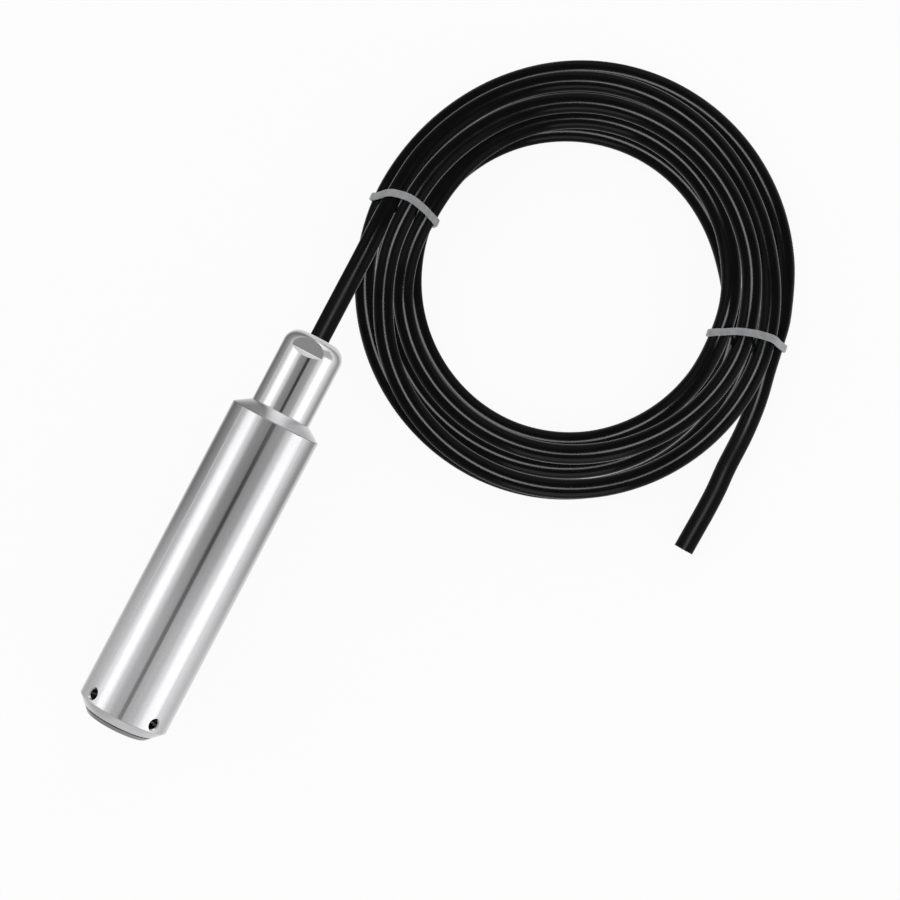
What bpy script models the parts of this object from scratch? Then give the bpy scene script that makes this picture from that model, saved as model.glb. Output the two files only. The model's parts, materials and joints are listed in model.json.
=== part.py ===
"""Submersible level transmitter: a stainless steel probe on its side, with its cable in a tied coil.

Metres, +Z up. The probe lies along Y, its nose at -Y and its cable leaving at +Y. The origin is on the
surface that it lies on, under the middle of the probe. Stations along the probe start at its nose face.
"""

import math

import bmesh
import bpy
from mathutils import Matrix, Vector

CLEAR = 0.0003  # between pieces that seat in or on each other
SEAM = 0.0001  # between the housing's end and the cable head screwed down on it
WELD = 0.00001  # points closer than this are one point
SHARP_ANGLE = math.radians(30)

OUTER_STEPS = 48  # sides of the turned pieces that show
INNER_STEPS = 32
SMALL_STEPS = 16
ARC_STEPS = 5

# Probe, outside
BODY_DIA = 0.0280
BODY_LENGTH = 0.0964  # the straight part, between the two chamfers
NOSE_CHAMFER = 0.0044  # at 45 degrees
SHOULDER_RISE = 0.0031
NECK_DIA = 0.0186
NECK_LENGTH = 0.0247
NECK_FILLET = 0.0047
WRENCH_WIDTH = 0.0158  # across the two flats
WRENCH_HEIGHT = 0.0194  # of the flats' lower edge over the neck's foot
WRENCH_TURN = math.radians(6)  # of the upper flat, from straight up towards -X

# Pressure ports
PORT_COUNT = 4
PORT_DIA = 0.0032
PORT_RISE = 0.0025  # of their centres over the edge of the chamfer
PORT_TURN = math.radians(48)  # of the first one, from straight up towards +X
PORT_MARGIN = 0.0005

# Nose plug
PLUG_FLANGE = 0.0013
PLUG_THREAD = 0.0033
PLUG_EDGE = 0.0004
PLUG_KEY_DIA = 0.0025
PLUG_KEY_DEPTH = 0.0020
PLUG_KEY_RADIUS = 0.0060
NOSE_LIP = 0.0012  # radial width of the housing's end face round the plug's thread

# Sensor
SENSOR_STEP = 0.0002  # of the sensor's bore inside the chamber's
SENSOR_LENGTH = 0.0140
SENSOR_RIM = 0.0019
SENSOR_RECESS = 0.0010
SENSOR_SEAT_WIDTH = 0.0016  # radial width of the inner shoulder behind the sensor
SENSOR_SEAT_THICK = 0.0025
LOCK_RING_THICK = 0.0025
LOCK_RING_WIDTH = 0.0032
DIAPHRAGM_THICK = 0.0002
DIAPHRAGM_WAVE = 0.0001
DIAPHRAGM_WAVES = 3
WAVE_POINTS = 4
PIN_COUNT = 4
PIN_CIRCLE_DIA = 0.0070
PIN_DIA = 0.0006
PIN_LENGTH = 0.0040  # behind the sensor
PIN_DEPTH = 0.0015  # inside it
VENT_STUB_DIA = 0.0018
VENT_BORE_DIA = 0.0010
VENT_STUB_LENGTH = 0.0032

# O-rings
RING_CORD = 0.0015
RING_GROOVE_DEPTH = 0.0016
SENSOR_RING_RISE = 0.0050  # of its groove over the sensor's front
HEAD_RING_DROP = 0.0045  # of its groove under the housing's end

# Housing and cable head, inside
HOUSING_WALL = 0.0022
SPIGOT_LENGTH = 0.0140
SPIGOT_WALL = 0.0030
GLAND_ROOF = 0.0095  # from the gland bore's end to the top of the neck
GLAND_FLOOR_DROP = 0.0010  # of the gland bore's mouth under the housing's end
GROMMET_WALL = 0.0028
GROMMET_LENGTH = 0.0080
GROMMET_NOSE = 0.0021
WASHER_THICK = 0.0008
GLAND_NUT_LENGTH = 0.0050
CRIMP_LENGTH = 0.0035
CRIMP_WALL = 0.0019
STUB_DROP = 0.0023  # of the sheath's end under the crimp ring

# Circuit board and its holders
HOLDER_HEIGHT = 0.0040
HOLDER_WIDTH = 0.0035
HOLDER_NOTCH = 0.0030
BOARD_INSET = 0.0017  # of its two long edges from the holders' outer wall
BOARD_THICK = 0.0016
CAPACITOR_DIA = 0.0042
CAPACITOR_HEIGHT = 0.0050
CAPACITOR_EDGE = 0.0004
CAPACITOR_INSET = 0.0050  # of their middles from the board's long edges
CAPACITOR_ALONG = 0.0140
# Width, length and height of each block, then its middle across the board and along it from its lower end
ON_BOARD = {
    "amplifier_chip": (0.0075, 0.0100, 0.0022, 0.0000, 0.0240, "chip_black"),
    "supply_regulator": (0.0062, 0.0065, 0.0018, 0.0045, 0.0370, "chip_black"),
    "zero_trimmer": (0.0064, 0.0064, 0.0045, -0.0050, 0.0400, "trimmer_blue"),
    "span_trimmer": (0.0064, 0.0064, 0.0045, -0.0050, 0.0325, "trimmer_blue"),
    "surge_diode": (0.0045, 0.0028, 0.0022, 0.0045, 0.0440, "chip_black"),
}

# Wires inside
SENSOR_WIRE_DIA = 0.0007
SENSOR_WIRE_PAD = 0.0046  # of its end from the board's middle line
SENSOR_WIRE_REACH = 0.0085
CORE_DIA = 0.0014
CORE_EXIT = 0.0014  # of each core from the middle of the cable's face
CORE_RISE = 0.0005
CORE_PAD = 0.0035  # of its end from the board's middle line
CORE_REACH = 0.0048  # of its end under the board's upper edge
BREATHER_DIA = 0.0012
BREATHER_EXIT = 0.0012
BREATHER_REACH = 0.0060
WIRE_SLACK = 0.0050  # nearly straight length under the cable's face
WIRE_STEP = 0.0030
WIRE_ROUNDING = 1  # bevel resolution: 6 sides

# Cable
CABLE_DIA = 0.0060
CABLE_SINK = 0.0020  # of the joint between its two lengths, under the top of the neck

# Coil and ties
COIL_X = 0.0586
COIL_Y = 0.1139
COIL_OUTER = 0.0651
COIL_INNER = 0.0442
COIL_HEIGHT = 0.0109
COIL_CORNER = 0.0046
COIL_STEPS = 56
TIE_WIDTH = 0.0024
TIE_THICK = 0.0010
TIE_HEAD = 0.0046
TIE_HEAD_HEIGHT = 0.0030
TIE_ANGLES = (math.radians(184.0), math.radians(9.5))

# Stations and radii that follow
BODY_R = BODY_DIA / 2
NECK_R = NECK_DIA / 2
CABLE_R = CABLE_DIA / 2
HOUSING_TOP = NOSE_CHAMFER + BODY_LENGTH
NECK_FOOT = HOUSING_TOP + SHOULDER_RISE
PROBE_LENGTH = NECK_FOOT + NECK_LENGTH
HOUSING_FOOT = PLUG_FLANGE + CLEAR
PORT_STATION = NOSE_CHAMFER + PORT_RISE
PLUG_FACE_R = BODY_R - NOSE_CHAMFER
CHAMBER_R = PLUG_FACE_R + HOUSING_FOOT - NOSE_LIP
CAVITY_R = BODY_R - HOUSING_WALL
SENSOR_R = CHAMBER_R - SENSOR_STEP - CLEAR
LOCK_RING_FOOT = PORT_STATION + PORT_DIA / 2 + PORT_MARGIN
SENSOR_FRONT = LOCK_RING_FOOT + LOCK_RING_THICK + CLEAR
SENSOR_BACK = SENSOR_FRONT + SENSOR_LENGTH
SEAT_FOOT = SENSOR_BACK + CLEAR
SEAT_TOP = SEAT_FOOT + SENSOR_SEAT_THICK
SPIGOT_R = CAVITY_R - CLEAR
SPIGOT_FOOT = HOUSING_TOP - SPIGOT_LENGTH
SPIGOT_BORE_R = SPIGOT_R - SPIGOT_WALL
CABLE_BORE_R = CABLE_R + CLEAR
GROMMET_R = CABLE_BORE_R + GROMMET_WALL
GLAND_R = GROMMET_R + CLEAR
GLAND_FOOT = HOUSING_TOP - GLAND_FLOOR_DROP
GLAND_TOP = PROBE_LENGTH - GLAND_ROOF
GROMMET_FOOT = GLAND_TOP - GROMMET_LENGTH
WASHER_FOOT = GROMMET_FOOT - CLEAR - WASHER_THICK
GLAND_NUT_FOOT = WASHER_FOOT - CLEAR - GLAND_NUT_LENGTH
CRIMP_FOOT = GLAND_NUT_FOOT - CLEAR - CRIMP_LENGTH
STUB_FOOT = CRIMP_FOOT - STUB_DROP
CABLE_JOINT = PROBE_LENGTH - CABLE_SINK
HOLDER_R = CAVITY_R - CLEAR
BOARD_WIDTH = 2 * (HOLDER_R - BOARD_INSET)
LOWER_HOLDER_FOOT = SEAT_TOP + CLEAR
UPPER_HOLDER_TOP = SPIGOT_FOOT - CLEAR
BOARD_FOOT = LOWER_HOLDER_FOOT + HOLDER_HEIGHT - HOLDER_NOTCH + CLEAR
BOARD_TOP = UPPER_HOLDER_TOP - HOLDER_HEIGHT + HOLDER_NOTCH - CLEAR
COIL_BOTTOM = TIE_HEAD_HEIGHT + TIE_THICK / 2 + CLEAR
COIL_WIDTH = COIL_OUTER - COIL_INNER
COIL_MID_R = (COIL_OUTER + COIL_INNER) / 2
COIL_MID_Z = COIL_BOTTOM + COIL_HEIGHT / 2

# Colour, roughness and metallic value of each finish
FINISHES = {
    "brushed_steel": ((0.60, 0.60, 0.61), 0.30, 1.0),
    "polished_steel": ((0.66, 0.66, 0.67), 0.16, 1.0),
    "turned_steel": ((0.52, 0.52, 0.53), 0.38, 1.0),
    "diaphragm_steel": ((0.70, 0.70, 0.71), 0.12, 1.0),
    "gold_plate": ((0.83, 0.64, 0.28), 0.25, 1.0),
    "nickel_plate": ((0.62, 0.60, 0.56), 0.28, 1.0),
    "crimped_copper": ((0.72, 0.42, 0.29), 0.35, 1.0),
    "seal_rubber": ((0.020, 0.020, 0.021), 0.60, 0.0),
    "cable_sheath": ((0.012, 0.012, 0.013), 0.36, 0.0),
    "tie_nylon": ((0.50, 0.51, 0.52), 0.42, 0.0),
    "holder_plastic": ((0.78, 0.77, 0.73), 0.50, 0.0),
    "board_green": ((0.020, 0.150, 0.060), 0.42, 0.0),
    "chip_black": ((0.025, 0.025, 0.027), 0.48, 0.0),
    "trimmer_blue": ((0.030, 0.120, 0.420), 0.40, 0.0),
    "capacitor_can": ((0.64, 0.65, 0.66), 0.30, 1.0),
    "core_red": ((0.45, 0.020, 0.018), 0.45, 0.0),
    "core_black": ((0.022, 0.022, 0.024), 0.45, 0.0),
    "vent_clear": ((0.74, 0.76, 0.74), 0.30, 0.0),
    "wire_white": ((0.75, 0.75, 0.73), 0.45, 0.0),
}

# Cable routes: their own points, chosen by hand, in world coordinates
LEAD_ROUTE = (
    (0.0000, 0.0720, 0.0140),
    (0.0000, 0.0812, 0.0138),
)
TAIL_ROUTE = (
    (0.12465, 0.0984, 0.00580),
    (0.12500, 0.0870, 0.00400),
    (0.12560, 0.0730, 0.00310),
    (0.12520, 0.0592, 0.00305),
)
TUBE_STEP = 0.0150  # greatest distance between the points of a cable tube
CABLE_ROUNDING = 4  # bevel resolution: 12 sides


def clear_scene():
    for obj in list(bpy.data.objects):
        bpy.data.objects.remove(obj, do_unlink=True)


def new_collection(name):
    collection = bpy.data.collections.new(name)
    bpy.context.scene.collection.children.link(collection)
    return collection


def finish(name):
    """The Principled material of one finish, made once."""
    if name in bpy.data.materials:
        return bpy.data.materials[name]
    colour, roughness, metallic = FINISHES[name]
    made = bpy.data.materials.new(name)
    made.use_nodes = True
    shader = made.node_tree.nodes["Principled BSDF"]
    shader.inputs["Base Color"].default_value = (*colour, 1.0)
    shader.inputs["Roughness"].default_value = roughness
    shader.inputs["Metallic"].default_value = metallic
    return made


def add_object(name, data, collection, parent=None, finish_name=None):
    obj = bpy.data.objects.new(name, data)
    collection.objects.link(obj)
    obj.parent = parent
    if finish_name:
        data.materials.append(finish(finish_name))
    return obj


def mesh_of(name, bm):
    mesh = bpy.data.meshes.new(name)
    bm.to_mesh(mesh)
    bm.free()
    return mesh


def arc(centre, radius, start, end, steps=ARC_STEPS):
    """Points of an arc in a profile's plane, from angle start to angle end in degrees."""
    found = []
    for i in range(steps + 1):
        angle = math.radians(start + (end - start) * i / steps)
        found.append((centre[0] + radius * math.cos(angle), centre[1] + radius * math.sin(angle)))
    return found


def turned(name, profile, closed, steps, collection, parent, finish_name):
    """A profile of (radius, height) points turned about Z. It runs down the outer side, top to bottom."""
    bm = bmesh.new()
    points = [bm.verts.new((radius, 0, height)) for radius, height in profile]
    for first, second in zip(points, points[1:]):
        bm.edges.new((first, second))
    if closed:
        bm.edges.new((points[-1], points[0]))
    obj = add_object(name, mesh_of(name, bm), collection, parent, finish_name)
    screw = obj.modifiers.new("turn", "SCREW")
    screw.axis = "Z"
    screw.angle = math.tau
    screw.steps = steps
    screw.render_steps = steps
    screw.use_merge_vertices = True
    screw.merge_threshold = WELD
    return obj


def ring_profile(inner, outer, foot, top):
    return [(inner, top), (outer, top), (outer, foot), (inner, foot)]


def cutter(name, bm, cutters, parent):
    obj = add_object(name, mesh_of(name, bm), cutters, parent)
    obj.hide_render = True
    obj.display_type = "WIRE"
    return obj


def cut(obj, tool, operation="DIFFERENCE"):
    boolean = obj.modifiers.new(f"{operation.lower()} {tool.name}", "BOOLEAN")
    boolean.operation = operation
    boolean.object = tool
    return boolean


def cylinder(radius, length, steps, matrix):
    bm = bmesh.new()
    bmesh.ops.create_cone(
        bm, cap_ends=True, segments=steps, radius1=radius, radius2=radius, depth=length, matrix=matrix
    )
    return bm


def box(size, matrix):
    bm = bmesh.new()
    bmesh.ops.create_cube(bm, size=1.0, matrix=matrix @ Matrix.Diagonal((*size, 1.0)))
    return bm


def smooth_curve(points, step):
    """Points at most a step apart on a smooth curve through the given ones."""
    route = [Vector(point) for point in points]
    ends = [2 * route[0] - route[1], *route, 2 * route[-1] - route[-2]]
    found = []
    for before, start, end, after in zip(ends, ends[1:], ends[2:], ends[3:]):
        count = max(1, math.ceil((end - start).length / step))
        for i in range(count):
            t = i / count
            found.append(
                0.5
                * (
                    2 * start
                    + (end - before) * t
                    + (2 * before - 5 * start + 4 * end - after) * t**2
                    + (3 * start - before - 3 * end + after) * t**3
                )
            )
    return [*found, route[-1]]


def tube(name, points, diameter, resolution, collection, parent, finish_name):
    """A round tube along a line of points, with its ends closed."""
    curve = bpy.data.curves.new(name, "CURVE")
    curve.dimensions = "3D"
    curve.bevel_depth = diameter / 2
    curve.bevel_resolution = resolution
    curve.use_fill_caps = True
    spline = curve.splines.new("POLY")
    spline.points.add(len(points) - 1)
    for target, point in zip(spline.points, points):
        target.co = (*point, 1.0)
    return add_object(name, curve, collection, parent, finish_name)


def build_housing(parts, cutters, axis):
    """The tube: chamfered at the nose, bored in steps for the plug, the sensor and the electronics."""
    foot_r = PLUG_FACE_R + HOUSING_FOOT
    seat_r = SENSOR_R + CLEAR
    shoulder_r = SENSOR_R - SENSOR_SEAT_WIDTH
    profile = [
        (CAVITY_R, HOUSING_TOP),
        (BODY_R, HOUSING_TOP),
        (BODY_R, NOSE_CHAMFER),
        (foot_r, HOUSING_FOOT),
        (CHAMBER_R, HOUSING_FOOT),
        (CHAMBER_R, SENSOR_FRONT - CLEAR),
        (seat_r, SENSOR_FRONT - CLEAR),
        (seat_r, SEAT_FOOT),
        (shoulder_r, SEAT_FOOT),
        (shoulder_r, SEAT_TOP),
        (CAVITY_R, SEAT_TOP),
    ]
    housing = turned("housing_tube", profile, True, OUTER_STEPS, parts, axis, "brushed_steel")
    for i in range(PORT_COUNT):
        turn = PORT_TURN - math.pi / 2 + math.tau * i / PORT_COUNT
        place = (
            Matrix.Rotation(turn, 4, "Z")
            @ Matrix.Translation((BODY_R, 0, PORT_STATION))
            @ Matrix.Rotation(math.pi / 2, 4, "Y")
        )
        drill = cylinder(PORT_DIA / 2, 2 * (BODY_R - CHAMBER_R) + CLEAR, SMALL_STEPS, place)
        cut(housing, cutter(f"port_drill_{i + 1}", drill, cutters, axis))


def build_nose_plug(parts, cutters, axis):
    """The screwed plug whose rim carries on the housing's chamfer. Two blind holes take a pin wrench."""
    thread_r = CHAMBER_R - CLEAR
    slope = PLUG_EDGE * math.sqrt(0.5)
    profile = [
        (0, PLUG_FLANGE + PLUG_THREAD),
        (thread_r, PLUG_FLANGE + PLUG_THREAD),
        (thread_r, PLUG_FLANGE),
        (PLUG_FACE_R + PLUG_FLANGE, PLUG_FLANGE),
        (PLUG_FACE_R + slope, slope),
        (PLUG_FACE_R - PLUG_EDGE, 0),
        (0, 0),
    ]
    plug = turned("nose_plug", profile, False, OUTER_STEPS, parts, axis, "turned_steel")
    for i, side in enumerate((-1, 1)):
        place = Matrix.Translation((side * PLUG_KEY_RADIUS, 0, 0))
        drill = cylinder(PLUG_KEY_DIA / 2, 2 * PLUG_KEY_DEPTH, SMALL_STEPS, place)
        cut(plug, cutter(f"key_drill_{i + 1}", drill, cutters, axis))


def build_cable_head(parts, cutters, axis):
    """The head in one piece: spigot with its seal groove, shoulder, and domed neck with two wrench flats."""
    groove_top = HOUSING_TOP - HEAD_RING_DROP + RING_CORD / 2 + CLEAR
    groove_foot = groove_top - RING_CORD - 2 * CLEAR
    roof = GLAND_TOP + GLAND_R - CABLE_BORE_R
    dome = arc((NECK_R - NECK_FILLET, PROBE_LENGTH - NECK_FILLET), NECK_FILLET, 90, 0)
    profile = [
        (CABLE_BORE_R, PROBE_LENGTH),
        *dome,
        (NECK_R, NECK_FOOT),
        (BODY_R, HOUSING_TOP + SEAM),
        (SPIGOT_R, HOUSING_TOP + SEAM),
        (SPIGOT_R, groove_top),
        (SPIGOT_R - RING_GROOVE_DEPTH, groove_top),
        (SPIGOT_R - RING_GROOVE_DEPTH, groove_foot),
        (SPIGOT_R, groove_foot),
        (SPIGOT_R, SPIGOT_FOOT),
        (SPIGOT_BORE_R, SPIGOT_FOOT),
        (SPIGOT_BORE_R, GLAND_FOOT),
        (GLAND_R, GLAND_FOOT),
        (GLAND_R, GLAND_TOP),
        (CABLE_BORE_R, roof),
    ]
    head = turned("cable_head", profile, True, OUTER_STEPS, parts, axis, "polished_steel")
    for i in range(2):
        cut(head, wrench_cutter(i, cutters, axis))


def wrench_cutter(index, cutters, axis):
    """A block beside the neck whose lower face runs out at 45 degrees."""
    reach = NECK_R - WRENCH_WIDTH / 2 + CLEAR
    foot = NECK_FOOT + WRENCH_HEIGHT
    top = PROBE_LENGTH + CLEAR
    centre = Matrix.Translation((WRENCH_WIDTH / 2 + reach / 2, 0, (foot + top) / 2))
    bm = box((reach, NECK_DIA, top - foot), centre)
    for vert in bm.verts:
        if vert.co.x > WRENCH_WIDTH / 2 + reach / 2 and vert.co.z < (foot + top) / 2:
            vert.co.z -= reach
    turn = -WRENCH_TURN - math.pi / 2 + math.pi * index
    bmesh.ops.transform(bm, matrix=Matrix.Rotation(turn, 4, "Z"), verts=bm.verts)
    return cutter(f"wrench_cutter_{index + 1}", bm, cutters, axis)


def build_sensor(parts, cutters, axis):
    """The oil-filled pressure capsule with its diaphragm, pins and reference tube, and its lock ring."""
    groove_foot = SENSOR_FRONT + SENSOR_RING_RISE
    groove_top = groove_foot + RING_CORD + 2 * CLEAR
    floor = SENSOR_FRONT + SENSOR_RECESS
    recess_r = SENSOR_R - SENSOR_RIM
    profile = [
        (0, SENSOR_BACK),
        (SENSOR_R, SENSOR_BACK),
        (SENSOR_R, groove_top),
        (SENSOR_R - RING_GROOVE_DEPTH, groove_top),
        (SENSOR_R - RING_GROOVE_DEPTH, groove_foot),
        (SENSOR_R, groove_foot),
        (SENSOR_R, SENSOR_FRONT),
        (recess_r, SENSOR_FRONT),
        (recess_r, floor),
        (0, floor),
    ]
    capsule = turned("sensor_capsule", profile, False, INNER_STEPS, parts, axis, "turned_steel")
    for i in range(PIN_COUNT):
        x, y = pin_place(i)
        socket_length = 2 * (PIN_DEPTH + CLEAR)
        place = Matrix.Translation((x, y, SENSOR_BACK))
        socket = cylinder(PIN_DIA / 2 + CLEAR, socket_length, SMALL_STEPS // 2, place)
        cut(capsule, cutter(f"pin_socket_{i + 1}", socket, cutters, axis))
        length = PIN_LENGTH + PIN_DEPTH
        place = Matrix.Translation((x, y, SENSOR_BACK + PIN_LENGTH - length / 2))
        pin = cylinder(PIN_DIA / 2, length, SMALL_STEPS // 2, place)
        add_object(f"sensor_pin_{i + 1}", mesh_of("sensor_pin", pin), parts, axis, "gold_plate")
    vent = ring_profile(
        VENT_BORE_DIA / 2, VENT_STUB_DIA / 2, SENSOR_BACK + SEAM, SENSOR_BACK + VENT_STUB_LENGTH
    )
    turned("sensor_vent_stub", vent, True, SMALL_STEPS, parts, axis, "nickel_plate")
    lock_r = CHAMBER_R - CLEAR
    lock = ring_profile(lock_r - LOCK_RING_WIDTH, lock_r, LOCK_RING_FOOT, LOCK_RING_FOOT + LOCK_RING_THICK)
    turned("sensor_lock_ring", lock, True, INNER_STEPS, parts, axis, "turned_steel")
    middle = floor - CLEAR - DIAPHRAGM_THICK / 2 - DIAPHRAGM_WAVE
    build_diaphragm(recess_r - CLEAR, middle, parts, axis)
    centre = (SENSOR_R - RING_GROOVE_DEPTH / 2, (groove_foot + groove_top) / 2)
    seal_ring("sensor_seal_ring", centre, parts, axis)


def pin_place(index):
    angle = math.pi / PIN_COUNT + math.tau * index / PIN_COUNT
    return PIN_CIRCLE_DIA / 2 * math.cos(angle), PIN_CIRCLE_DIA / 2 * math.sin(angle)


def build_diaphragm(edge, middle, parts, axis):
    """The thin corrugated disc over the front of the capsule."""
    count = WAVE_POINTS * DIAPHRAGM_WAVES
    wave = []
    for i in range(count + 1):
        share = i / count
        wave.append((edge * share, middle + DIAPHRAGM_WAVE * math.cos(math.tau * DIAPHRAGM_WAVES * share)))
    above = [(radius, height + DIAPHRAGM_THICK / 2) for radius, height in wave]
    below = [(radius, height - DIAPHRAGM_THICK / 2) for radius, height in reversed(wave)]
    turned("sensor_diaphragm", above + below, False, INNER_STEPS, parts, axis, "diaphragm_steel")


def seal_ring(name, centre, parts, axis):
    """An O-ring that fills its groove but for the clearance."""
    section = arc(centre, RING_CORD / 2, 90, -270, 2 * ARC_STEPS)[:-1]
    turned(name, section, True, INNER_STEPS, parts, axis, "seal_rubber")


def build_gland(parts, axis):
    """What grips and seals the cable inside the head: grommet, washer, gland nut and crimped ring."""
    shoulder = GLAND_TOP + CLEAR * (1 - math.sqrt(2))
    grommet = [
        (CABLE_BORE_R, shoulder + GROMMET_NOSE),
        (GROMMET_R - GROMMET_NOSE, shoulder + GROMMET_NOSE),
        (GROMMET_R, shoulder),
        (GROMMET_R, GROMMET_FOOT),
        (CABLE_BORE_R, GROMMET_FOOT),
    ]
    turned("gland_grommet", grommet, True, INNER_STEPS, parts, axis, "seal_rubber")
    washer = ring_profile(CABLE_BORE_R, GROMMET_R, WASHER_FOOT, WASHER_FOOT + WASHER_THICK)
    turned("gland_washer", washer, True, INNER_STEPS, parts, axis, "nickel_plate")
    nut = ring_profile(CABLE_BORE_R, GROMMET_R, GLAND_NUT_FOOT, GLAND_NUT_FOOT + GLAND_NUT_LENGTH)
    turned("gland_nut", nut, True, INNER_STEPS, parts, axis, "nickel_plate")
    crimp = ring_profile(CABLE_BORE_R, CABLE_BORE_R + CRIMP_WALL, CRIMP_FOOT, CRIMP_FOOT + CRIMP_LENGTH)
    turned("crimp_ring", crimp, True, INNER_STEPS, parts, axis, "crimped_copper")
    groove_middle = HOUSING_TOP - HEAD_RING_DROP
    seal_ring("head_seal_ring", (SPIGOT_R - RING_GROOVE_DEPTH / 2, groove_middle), parts, axis)


def build_holder(name, foot, notch_middle, parts, cutters, axis):
    """A plastic ring with two notches that take the edges of the board."""
    profile = ring_profile(HOLDER_R - HOLDER_WIDTH, HOLDER_R, foot, foot + HOLDER_HEIGHT)
    holder = turned(name, profile, True, INNER_STEPS, parts, axis, "holder_plastic")
    size = (BOARD_WIDTH + 2 * CLEAR, BOARD_THICK + 2 * CLEAR, 2 * HOLDER_NOTCH)
    slot = box(size, Matrix.Translation((0, 0, notch_middle)))
    cut(holder, cutter(f"{name}_slot", slot, cutters, axis))


def build_electronics(parts, cutters, axis):
    """The circuit board between its two holders, with the parts on its upper face."""
    lower_top = LOWER_HOLDER_FOOT + HOLDER_HEIGHT
    build_holder("lower_board_holder", LOWER_HOLDER_FOOT, lower_top, parts, cutters, axis)
    upper_foot = UPPER_HOLDER_TOP - HOLDER_HEIGHT
    build_holder("upper_board_holder", upper_foot, upper_foot, parts, cutters, axis)
    size = (BOARD_WIDTH, BOARD_THICK, BOARD_TOP - BOARD_FOOT)
    board = box(size, Matrix.Translation((0, 0, (BOARD_FOOT + BOARD_TOP) / 2)))
    add_object("circuit_board", mesh_of("circuit_board", board), parts, axis, "board_green")
    face = -BOARD_THICK / 2 - CLEAR
    for name, (width, length, height, across, along, finish_name) in ON_BOARD.items():
        place = Matrix.Translation((across, face - height / 2, BOARD_FOOT + along))
        part = box((width, height, length), place)
        add_object(name, mesh_of(name, part), parts, axis, finish_name)
    across = BOARD_WIDTH / 2 - CAPACITOR_INSET
    for i, side in enumerate((-1, 1)):
        build_capacitor(i, (side * across, face, BOARD_FOOT + CAPACITOR_ALONG), parts, axis)


def build_capacitor(index, place, parts, axis):
    """A small upright can with a rounded top edge."""
    radius = CAPACITOR_DIA / 2
    profile = [
        (0, CAPACITOR_HEIGHT),
        (radius - CAPACITOR_EDGE, CAPACITOR_HEIGHT),
        (radius, CAPACITOR_HEIGHT - CAPACITOR_EDGE),
        (radius, 0),
        (0, 0),
    ]
    can = turned(f"capacitor_{index + 1}", profile, False, SMALL_STEPS, parts, axis, "capacitor_can")
    can.location = place
    can.rotation_euler = (math.pi / 2, 0, 0)


def build_inner_wires(parts, axis):
    """The sheath's inner end, its two cores and breather tube, and the sensor's wires."""
    middle = Matrix.Translation((0, 0, (CABLE_JOINT + STUB_FOOT) / 2))
    stub = cylinder(CABLE_R, CABLE_JOINT - STUB_FOOT, SMALL_STEPS, middle)
    add_object("cable_inner_end", mesh_of("cable_inner_end", stub), parts, axis, "cable_sheath")
    start = STUB_FOOT - CLEAR
    lift = BOARD_THICK / 2 + CORE_DIA / 2 + CLEAR
    for name, side in (("core_red", -1), ("core_black", 1)):
        route = (
            (side * CORE_EXIT, -CORE_RISE, start),
            (side * CORE_EXIT, -2 * CORE_RISE, start - WIRE_SLACK),
            (side * (CORE_EXIT + CORE_PAD) / 2, -lift - CLEAR, BOARD_TOP + CORE_DIA),
            (side * CORE_PAD, -lift - CLEAR, BOARD_TOP - CORE_DIA),
            (side * CORE_PAD, -lift, BOARD_TOP - CORE_REACH),
        )
        tube(name, smooth_curve(route, WIRE_STEP), CORE_DIA, WIRE_ROUNDING, parts, axis, name)
    under = BOARD_THICK / 2 + BREATHER_DIA / 2 + CLEAR
    route = (
        (0, BREATHER_EXIT, start),
        (0, BREATHER_EXIT, start - WIRE_SLACK),
        (0, under + CLEAR, BOARD_TOP + BREATHER_DIA),
        (0, under, BOARD_TOP - BREATHER_REACH),
    )
    line = smooth_curve(route, WIRE_STEP)
    tube("breather_tube", line, BREATHER_DIA, WIRE_ROUNDING, parts, axis, "vent_clear")
    for i in range(PIN_COUNT):
        build_sensor_wire(i, parts, axis)


def build_sensor_wire(index, parts, axis):
    """A wire from the end of a pin to the nearer face of the board."""
    x, y = pin_place(index)
    start = SENSOR_BACK + PIN_LENGTH + CLEAR
    lift = math.copysign(BOARD_THICK / 2 + SENSOR_WIRE_DIA / 2 + CLEAR, y)
    pad = math.copysign(SENSOR_WIRE_PAD, x)
    route = (
        (x, y, start),
        (x, y, start + SENSOR_WIRE_DIA),
        ((x + pad) / 2, (y + lift) / 2, start + SENSOR_WIRE_REACH / 2),
        (pad, lift, start + SENSOR_WIRE_REACH),
    )
    line = smooth_curve(route, WIRE_STEP)
    tube(f"sensor_wire_{index + 1}", line, SENSOR_WIRE_DIA, WIRE_ROUNDING, parts, axis, "wire_white")


def build_cable(parts):
    """The cable outside the probe: its lead, its wound part as one solid ring, and its free end."""
    start = Vector((0, CABLE_JOINT - PROBE_LENGTH / 2 + CLEAR, BODY_R))
    lead = smooth_curve((start, *LEAD_ROUTE), TUBE_STEP)
    tube("cable_lead", lead, CABLE_DIA, CABLE_ROUNDING, parts, None, "cable_sheath")
    section = [
        (COIL_MID_R + x, COIL_MID_Z + z)
        for x, z in rounded_outline(COIL_WIDTH, COIL_HEIGHT, COIL_CORNER, ARC_STEPS - 1)
    ]
    coil = turned("cable_coil", section, True, COIL_STEPS, parts, None, "cable_sheath")
    coil.location = (COIL_X, COIL_Y, 0)
    tail = smooth_curve(TAIL_ROUTE, TUBE_STEP)
    tube("cable_tail", tail, CABLE_DIA, CABLE_ROUNDING, parts, None, "cable_sheath")


def rounded_outline(width, height, corner, steps):
    """A rectangle with round corners about the origin, clockwise from the top of its right side."""
    across = width / 2 - corner
    up = height / 2 - corner
    found = []
    for x, y, start in ((across, up, 90), (across, -up, 0), (-across, -up, -90), (-across, up, -180)):
        found += arc((x, y), corner, start, start - 90, steps)
    return found


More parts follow.
